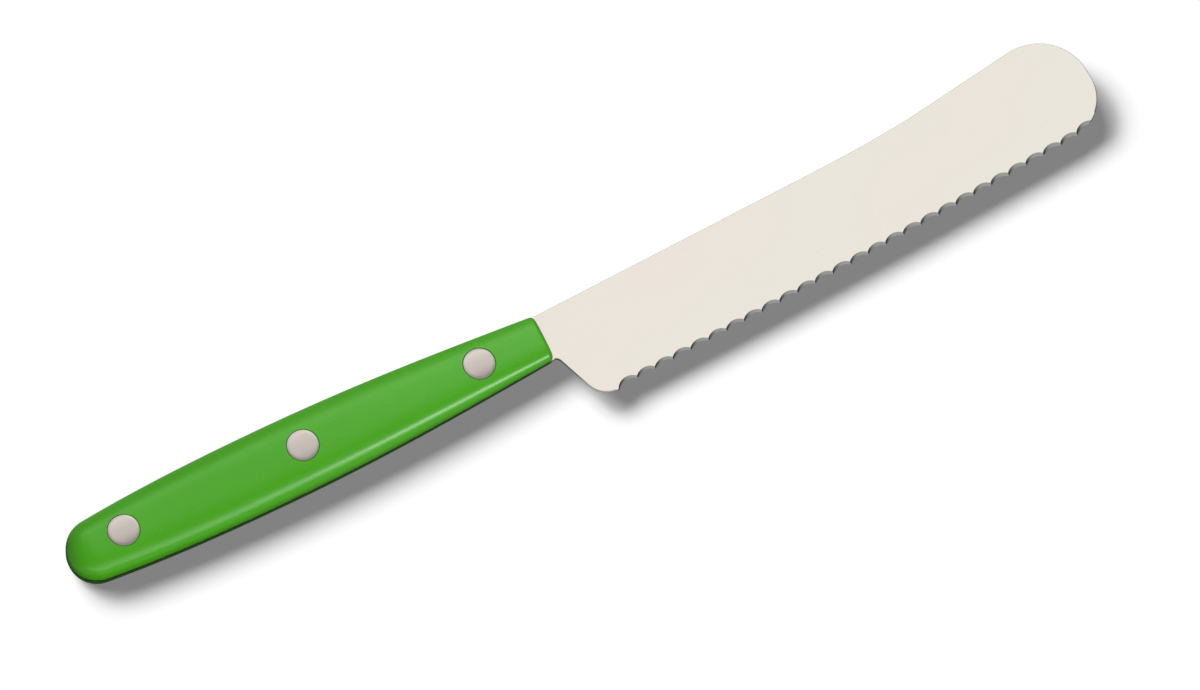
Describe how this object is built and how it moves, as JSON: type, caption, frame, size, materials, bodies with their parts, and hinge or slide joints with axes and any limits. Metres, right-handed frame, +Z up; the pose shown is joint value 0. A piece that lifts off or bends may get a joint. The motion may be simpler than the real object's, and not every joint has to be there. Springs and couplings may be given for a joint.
{
  "type": "bread roll knife",
  "caption": "Small table knife with a round-tipped steel blade, a scalloped edge ground from one side, and green plastic scales riveted to a full tang.",
  "frame": {"origin": "under the middle of the knife's box, on the surface that it lies on", "axes": "+X along the cutting edge towards the tip, +Y towards the spine, +Z up, square to the blade and out of its ground face"},
  "size_m": [0.224, 0.0284, 0.0118],
  "materials": {
    "blade_steel": "fine satin stainless steel, bright and even, with darker ground scallops",
    "green_plastic": "smooth glossy moulded plastic, mid green",
    "rivet_metal": "satin light metal, ground flush with the scales"
  },
  "bodies": {
    "root": {"blade": "blade_steel", "right_scale": "green_plastic", "left_scale": "green_plastic", "front_rivet_sleeve": "rivet_metal", "middle_rivet_sleeve": "rivet_metal", "rear_rivet_sleeve": "rivet_metal", "front_rivet_pin": "rivet_metal", "middle_rivet_pin": "rivet_metal", "rear_rivet_pin": "rivet_metal"}
  },
  "joints": []
}
